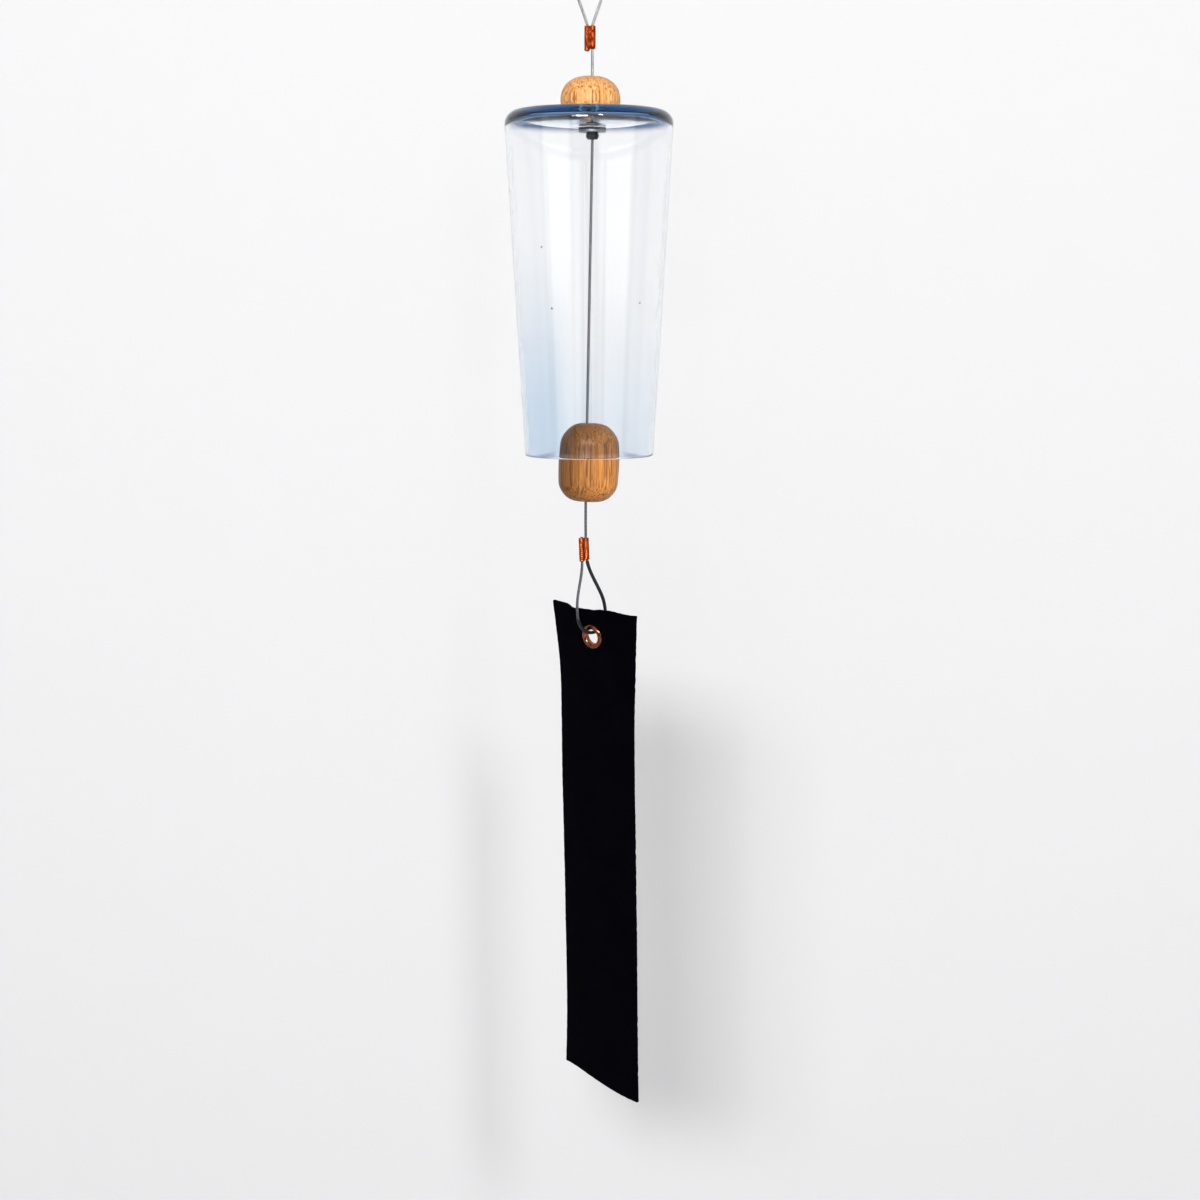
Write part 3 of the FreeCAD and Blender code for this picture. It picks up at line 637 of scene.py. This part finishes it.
# Pressed copper
def pressed(name, node, body, material, voxel, shape):
    """A CAD piece's own form with its edges softened and the marks of the tool pressed in."""
    obj = bpy.data.objects.new(name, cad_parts[node].data.copy())
    bpy.context.scene.collection.objects.link(obj)
    remesh = obj.modifiers.new("remesh", "REMESH")
    remesh.mode = "VOXEL"
    remesh.voxel_size = voxel * MM
    soften = obj.modifiers.new("soften", "SMOOTH")
    soften.iterations = 5
    soften.factor = 0.5
    apply_modifiers(obj)
    mesh = obj.data
    for vertex, normal in zip(mesh.vertices, [v.normal.copy() for v in mesh.vertices]):
        vertex.co += normal * (shape(vertex.co / MM, normal) * MM)
    mesh.shade_smooth()
    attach(obj, body)
    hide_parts(node)
    return paint(obj, material)


def upper_marks(place, normal):
    """Shallow unevenness of a pressed barrel."""
    wave = noise.noise(Vector((place.x * 0.9, place.y * 0.9, place.z * 0.55)))
    return 0.05 * wave - 0.03


def lower_marks(place, normal):
    """Ribs of the tool across the barrels, and unevenness."""
    along = (Vector(place) - Vector(CRIMP)).dot(CRIMP_UP)
    rib = 0.5 + 0.5 * math.cos(2 * math.pi * along / 0.86)
    wave = noise.noise(Vector((place.x * 1.1, place.y * 1.1, place.z * 0.7)))
    flat = 1 - abs(normal.dot(CRIMP_UP))
    return flat * (-0.07 * rib ** 2) + 0.06 * wave - 0.03


def stop_marks(place, normal):
    """A dent of the pliers that closed the stop, on its front, with slight unevenness."""
    side = abs(normal.x)
    dent = max(0.0, 1 - abs(place.x - CABLE_X) / 0.9) * max(0.0, -normal.y)
    return -0.16 * dent + 0.03 * noise.noise(Vector(place) * 1.4) + 0.02 * side


def pressed_pieces():
    pressed("upper_ferrule_skin", "upper_ferrule", "crimp", "copper", 0.1, upper_marks)
    pressed("lower_ferrule_skin", "lower_ferrule", "tail", "pressed_copper", 0.1, lower_marks)
    pressed("stop_skin", "cable_stop", "stop", "dark_metal", 0.09, stop_marks)


# Leather strip
def station(share):
    """Twist, sideways and backward place and bow of the strip at a share of its length."""
    rows = np.array(SAIL_STATIONS)
    at = (share - rows[0, 0]) / (rows[1, 0] - rows[0, 0])
    i = int(min(max(math.floor(at), 0), len(rows) - 2))
    t = at - i
    p = [rows[min(max(i + k, 0), len(rows) - 1), 1:] for k in (-1, 0, 1, 2)]
    return p[1] + 0.5 * t * (p[2] - p[0] + t * (2 * p[0] - 5 * p[1] + 4 * p[2] - p[3]
                                               + t * (3 * (p[1] - p[2]) + p[3] - p[0])))


def strip_point(u, z):
    """Middle of the leather, in millimetres, at a share of its width and a height."""
    share = (EYELET.z + EYELET_TO_TOP - z) / SAIL_LENGTH
    twist, side, back, bow = station(share)
    angle = math.radians(twist)
    across = Vector((math.cos(angle), -math.sin(angle), 0))
    front = Vector((-math.sin(angle), -math.cos(angle), 0))
    middle = Vector((EYELET.x + side * SAIL_WIDTH, EYELET.y + back * SAIL_WIDTH, z))
    w = 2 * u - 1
    return middle + across * (w * SAIL_WIDTH / 2) - front * (bow * SAIL_WIDTH * w * w)


def cut_height(u, table, side, start, upward):
    """Height of a cut edge of the strip at a share of its width."""
    across = Vector((-SAIL_FRONT.y, SAIL_FRONT.x, 0)).normalized()
    shares = [row[0] for row in table]
    insets = [row[1] for row in table]
    z = start
    for _ in range(4):
        place = (strip_point(u, z) - EYELET).dot(across) / SAIL_WIDTH - side + 0.5
        z = start - upward * float(np.interp(place, shares, insets)) * SAIL_WIDTH
    return z


def ragged(value, seed, size):
    """Small unevenness of a knife cut."""
    slow = noise.noise(Vector((value * 0.45, seed, 0)))
    quick = noise.noise(Vector((value * 1.7, seed, 3)))
    return size * (slow + 0.7 * quick)


def sail():
    """The strip as a grid of its middle surface, cut round the eyelet and then given its thickness."""
    top = EYELET.z + EYELET_TO_TOP
    across = Vector((-SAIL_FRONT.y, SAIL_FRONT.x, 0)).normalized()
    vertices = []
    for i in range(SAIL_COLUMNS + 1):
        u = i / SAIL_COLUMNS
        high = cut_height(u, SAIL_TOP, TOP_SIDE, top, 1) + ragged(u * SAIL_WIDTH, 7, 0.12)
        low = cut_height(u, SAIL_BOTTOM, BOTTOM_SIDE, top - SAIL_LENGTH, -1) + ragged(u * SAIL_WIDTH, 11, 0.12)
        for j in range(SAIL_ROWS + 1):
            z = high + (low - high) * j / SAIL_ROWS
            point = strip_point(u, z)
            near_right = max(0.0, (u - 0.9) / 0.1)
            near_left = max(0.0, (0.1 - u) / 0.1)
            point += across * (near_right * ragged(z, 1, 0.22) + near_left * ragged(z, 2, 0.14))
            ripple = noise.noise(Vector((u * 3.0, z * 0.05, 5))) * 0.10
            point += SAIL_FRONT * ripple
            away = point - EYELET
            flat = away.dot(SAIL_FRONT)
            distance = (away - SAIL_FRONT * flat).length
            ease = min(1.0, max(0.0, (distance - SAIL_FLAT) / SAIL_EASE))
            ease = ease * ease * (3 - 2 * ease)
            vertices.append(point - SAIL_FRONT * (flat * (1 - ease)))
    keep = []
    for i in range(SAIL_COLUMNS):
        for j in range(SAIL_ROWS):
            here = i * (SAIL_ROWS + 1) + j
            beside = here + SAIL_ROWS + 1
            corners = (here, here + 1, beside + 1, beside)
            centre = sum((vertices[c] for c in corners), Vector()) / 4 - EYELET
            centre -= SAIL_FRONT * centre.dot(SAIL_FRONT)
            if centre.length > SAIL_HOLE:
                keep.append(corners)
    mesh = bpy.data.meshes.new("sail_skin")
    mesh.from_pydata([tuple(v * MM) for v in vertices], [], keep)
    bm = bmesh.new()
    bm.from_mesh(mesh)
    bmesh.ops.delete(bm, geom=[v for v in bm.verts if not v.link_faces], context="VERTS")
    for vert in bm.verts:
        away = vert.co / MM - EYELET
        if vert.is_boundary and away.length < 8:
            flat = away - SAIL_FRONT * away.dot(SAIL_FRONT)
            vert.co = (EYELET + flat.normalized() * SAIL_HOLE) * MM
    bmesh.ops.recalc_face_normals(bm, faces=bm.faces)
    bm.to_mesh(mesh)
    bm.free()
    obj = bpy.data.objects.new("sail_skin", mesh)
    bpy.context.scene.collection.objects.link(obj)
    solid = obj.modifiers.new("thick", "SOLIDIFY")
    solid.thickness = SAIL_THICKNESS * MM
    solid.offset = 0.0
    solid.use_even_offset = True
    bevel = obj.modifiers.new("worn", "BEVEL")
    bevel.width = 0.22 * MM
    bevel.segments = 3
    bevel.limit_method = "ANGLE"
    bevel.angle_limit = math.radians(50)
    apply_modifiers(obj)
    obj.data.shade_smooth()
    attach(obj, "sail")
    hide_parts("sail")
    return paint(obj, "leather")


# Glass
def lathe_arc(centre, radius, start, end, steps):
    """Points of an arc in (radius, height), between two angles in degrees."""
    angles = np.radians(np.linspace(start, end, steps))
    return [(centre[0] + radius * math.cos(a), centre[1] + radius * math.sin(a)) for a in angles]


def glass_profile():
    """Outline of the glass in millimetres: from its hole over the shoulder to the lip, and back inside."""
    top = GLASS_TOP
    shoulder = (GLASS_RADIUS - SHOULDER, top - SHOULDER)
    lip = GLASS_WALL / 2
    foot = (RIM_RADIUS - lip, top - GLASS_HEIGHT + lip)
    taper = math.atan((GLASS_RADIUS - RIM_RADIUS) / (shoulder[1] - foot[1]))
    lean = math.degrees(taper)
    inner_foot = (foot[0] - lip * math.cos(taper), foot[1] + lip * math.sin(taper))
    inner_z = top - EDGE_THICKNESS - INNER_CORNER
    wall_r = inner_foot[0] + (inner_z - inner_foot[1]) * math.tan(taper)
    corner = (wall_r - INNER_CORNER / math.cos(taper), inner_z)
    slope = 0.3
    for _ in range(4):
        end = (corner[0] - INNER_CORNER * math.sin(slope), corner[1] + INNER_CORNER * math.cos(slope))
        slope = 2 * math.atan((end[1] - (top - BASE_THICKNESS)) / (end[0] - SEAT_RADIUS))
    bulge = (end[0] - SEAT_RADIUS) / math.sin(slope)
    tilt = math.degrees(slope)
    points = [(HOLE_RADIUS, top)]
    points += [(r, top) for r in np.linspace(HOLE_RADIUS + 1, shoulder[0] - 1, 8)]
    points += lathe_arc(shoulder, SHOULDER, 90, -lean, 24)
    points += lathe_arc(foot, lip, -lean, -lean - 180, 16)
    points += lathe_arc(corner, INNER_CORNER, -lean, 90 + tilt, 16)
    points += lathe_arc((SEAT_RADIUS, top - BASE_THICKNESS + bulge), bulge, -90 + tilt, -90, 24)
    points += [(HOLE_RADIUS, top - BASE_THICKNESS)]
    return points


def glass_bell():
    """The glass as a fine lathe, with the slight unevenness of glass worked in the heat."""
    profile = glass_profile()
    dense = []
    for a, b in zip(profile, profile[1:] + profile[:1]):
        steps = max(1, int(math.hypot(b[0] - a[0], b[1] - a[1]) / GLASS_STEP))
        dense += [(a[0] + (b[0] - a[0]) * k / steps, a[1] + (b[1] - a[1]) * k / steps) for k in range(steps)]
    vertices = []
    for r, z in dense:
        for k in range(GLASS_SIDES):
            a = 2 * math.pi * k / GLASS_SIDES
            vertices.append(((GLASS_X + r * math.cos(a)) * MM, r * math.sin(a) * MM, z * MM))
    count = len(dense)
    faces = []
    for i in range(count):
        ring = i * GLASS_SIDES
        following = (i + 1) % count * GLASS_SIDES
        for k in range(GLASS_SIDES):
            beside = (k + 1) % GLASS_SIDES
            faces.append((ring + k, ring + beside, following + beside, following + k))
    obj = new_object("glass_skin", vertices, faces)
    bm = bmesh.new()
    bm.from_mesh(obj.data)
    bmesh.ops.recalc_face_normals(bm, faces=bm.faces)
    bm.to_mesh(obj.data)
    bm.free()
    obj.visible_shadow = False
    obj.visible_diffuse = False
    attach(obj, "bell")
    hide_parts("glass_bell")
    return paint(obj, "glass")


# CAD pieces whose form stays
def dress_nodes():
    """Finish of the pieces whose solid is shown as it is."""
    looks = {"top_bead": "bead_oak", "clapper": "clapper_oak", "rubber_washer": "rubber",
             "steel_washer": "steel", "clapper_washer": "steel", "clapper_stop": "dark_metal",
             "eyelet": "old_copper", "eyelet_washer": "old_copper"}
    for node, name in looks.items():
        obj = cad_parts[node]
        for slot in obj.material_slots:
            slot.material = MATERIALS[name]
    for node in ("top_bead", "clapper"):
        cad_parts[node].visible_shadow = False


# Stage
def wall_material():
    """Near-white wall with a trace of plain tone, and clear when seen from behind."""
    n = Nodes("wall")
    rays = n.add("ShaderNodeLightPath")
    seen = n.math("MAXIMUM", rays.outputs["Is Camera Ray"], rays.outputs["Is Glossy Ray"])
    seen = n.math("MAXIMUM", seen, rays.outputs["Is Transmission Ray"])
    n.set(Base_Color=(0.535, 0.535, 0.54, 1), Roughness=1.0, Specular_IOR_Level=0.0)
    plain = n.add("ShaderNodeEmission")
    plain.inputs["Color"].default_value = (0.985, 0.99, 1.0, 1)
    n.link(n.math("MULTIPLY", seen, 0.01), plain.inputs["Strength"])
    both = n.add("ShaderNodeAddShader")
    n.link(n.bsdf.outputs["BSDF"], both.inputs[0])
    n.link(plain.outputs["Emission"], both.inputs[1])
    clear = n.add("ShaderNodeBsdfTransparent")
    side = n.add("ShaderNodeNewGeometry")
    choose = n.add("ShaderNodeMixShader")
    n.link(side.outputs["Backfacing"], choose.inputs["Fac"])
    n.link(both.outputs["Shader"], choose.inputs[1])
    n.link(clear.outputs["BSDF"], choose.inputs[2])
    n.link(choose.outputs["Shader"], n.out.inputs["Surface"])
    return n.material


def stage():
    """Wall behind the bell that bends into a floor below it."""
    profile = [(WALL_Y, WALL_TOP), (WALL_Y, FLOOR_Z + FLOOR_BEND)]
    steps = 12
    for k in range(1, steps + 1):
        a = math.pi / 2 * k / steps
        profile.append((WALL_Y - FLOOR_BEND * (1 - math.cos(a)), FLOOR_Z + FLOOR_BEND * (1 - math.sin(a))))
    profile.append((-WALL_HALF_WIDTH, FLOOR_Z))
    vertices = [(x, y, z) for y, z in profile for x in (-WALL_HALF_WIDTH, WALL_HALF_WIDTH)]
    faces = [(2 * i, 2 * i + 1, 2 * i + 3, 2 * i + 2) for i in range(len(profile) - 1)]
    wall = new_object("backdrop", vertices, faces)
    if wall.data.polygons[0].normal.y > 0:
        wall.data.flip_normals()
    wall.data.materials.append(wall_material())


def stand(obj, azimuth, elevation, distance):
    """Puts a lamp or board round the lit place and turns it there."""
    a = math.radians(azimuth)
    e = math.radians(elevation)
    away = Vector((math.sin(a) * math.cos(e), -math.cos(a) * math.cos(e), math.sin(e))) * distance
    obj.location = Vector(LIT_PLACE) + away
    obj.rotation_euler = (Vector(LIT_PLACE) - obj.location).to_track_quat("-Z", "Y").to_euler()


def lamp(name, azimuth, elevation, distance, size, power):
    data = bpy.data.lights.new(name, "AREA")
    data.shape = "RECTANGLE"
    data.size, data.size_y = size
    data.energy = power
    obj = bpy.data.objects.new(name, data)
    bpy.context.scene.collection.objects.link(obj)
    stand(obj, azimuth, elevation, distance)
    obj.visible_transmission = False
    return obj


def board(name, azimuth, elevation, distance, size, strength):
    """Bright board that only gloss and glass show."""
    w, h = size[0] / 2, size[1] / 2
    obj = new_object(name, [(-w, -h, 0), (w, -h, 0), (w, h, 0), (-w, h, 0)], [(0, 1, 2, 3)])
    stand(obj, azimuth, elevation, distance)
    n = Nodes(name)
    glow = n.add("ShaderNodeEmission")
    split = n.add("ShaderNodeSeparateXYZ")
    n.link(n.coords(), split.inputs[0])
    tone = n.math("ADD", n.math("MULTIPLY", n.fade(split.outputs["Y"], -0.16, -0.03), 0.75), 0.25)
    tone = n.math("MULTIPLY", tone, n.fade(n.math("ABSOLUTE", split.outputs["X"]), w, 0.62 * w))
    n.link(n.math("MULTIPLY", tone, strength), glow.inputs["Strength"])
    n.link(glow.outputs["Emission"], n.out.inputs["Surface"])
    obj.data.materials.append(n.material)
    obj.visible_camera = False
    obj.visible_diffuse = False
    obj.visible_shadow = False
    obj.visible_volume_scatter = False


def lights():
    lamps = {name: lamp(name, *values) for name, values in LAMPS.items()}
    lamps["right_fill"].visible_glossy = False
    for name, values in BOARDS.items():
        board(name, *values)


def world_light():
    """Even white for what is seen directly, and a room that is dark behind the camera for gloss."""
    world = bpy.data.worlds.new("world")
    bpy.context.scene.world = world
    world.use_nodes = True
    tree = world.node_tree
    rays = tree.nodes.new("ShaderNodeLightPath")
    coords = tree.nodes.new("ShaderNodeTexCoord")
    split = tree.nodes.new("ShaderNodeSeparateXYZ")
    tree.links.new(coords.outputs["Generated"], split.inputs[0])
    half = tree.nodes.new("ShaderNodeMapRange")
    tree.links.new(split.outputs["Y"], half.inputs["Value"])
    half.inputs["From Min"].default_value = -1.0
    room = tree.nodes.new("ShaderNodeValToRGB")
    tree.links.new(half.outputs["Result"], room.inputs["Fac"])
    while len(room.color_ramp.elements) < len(ROOM):
        room.color_ramp.elements.new(0.5)
    for element, (place, tone) in zip(room.color_ramp.elements, ROOM):
        element.position = place
        element.color = (*tone, 1)
    gloss = tree.nodes.new("ShaderNodeMixRGB")
    tree.links.new(rays.outputs["Is Glossy Ray"], gloss.inputs["Fac"])
    gloss.inputs["Color1"].default_value = (*EVEN_TONE, 1)
    tree.links.new(room.outputs["Color"], gloss.inputs["Color2"])
    seen = tree.nodes.new("ShaderNodeMath")
    seen.operation = "MAXIMUM"
    tree.links.new(rays.outputs["Is Camera Ray"], seen.inputs[0])
    tree.links.new(rays.outputs["Is Transmission Ray"], seen.inputs[1])
    level = tree.nodes.new("ShaderNodeMixRGB")
    tree.links.new(seen.outputs[0], level.inputs["Fac"])
    tree.links.new(gloss.outputs["Color"], level.inputs["Color1"])
    level.inputs["Color2"].default_value = (*SEEN_TONE, 1)
    tree.links.new(level.outputs["Color"], tree.nodes["Background"].inputs["Color"])


camera()
ropes()
pressed_pieces()
sail()
glass_bell()
dress_nodes()
stage()
lights()
world_light()
bpy.context.scene.view_settings.view_transform = "Standard"
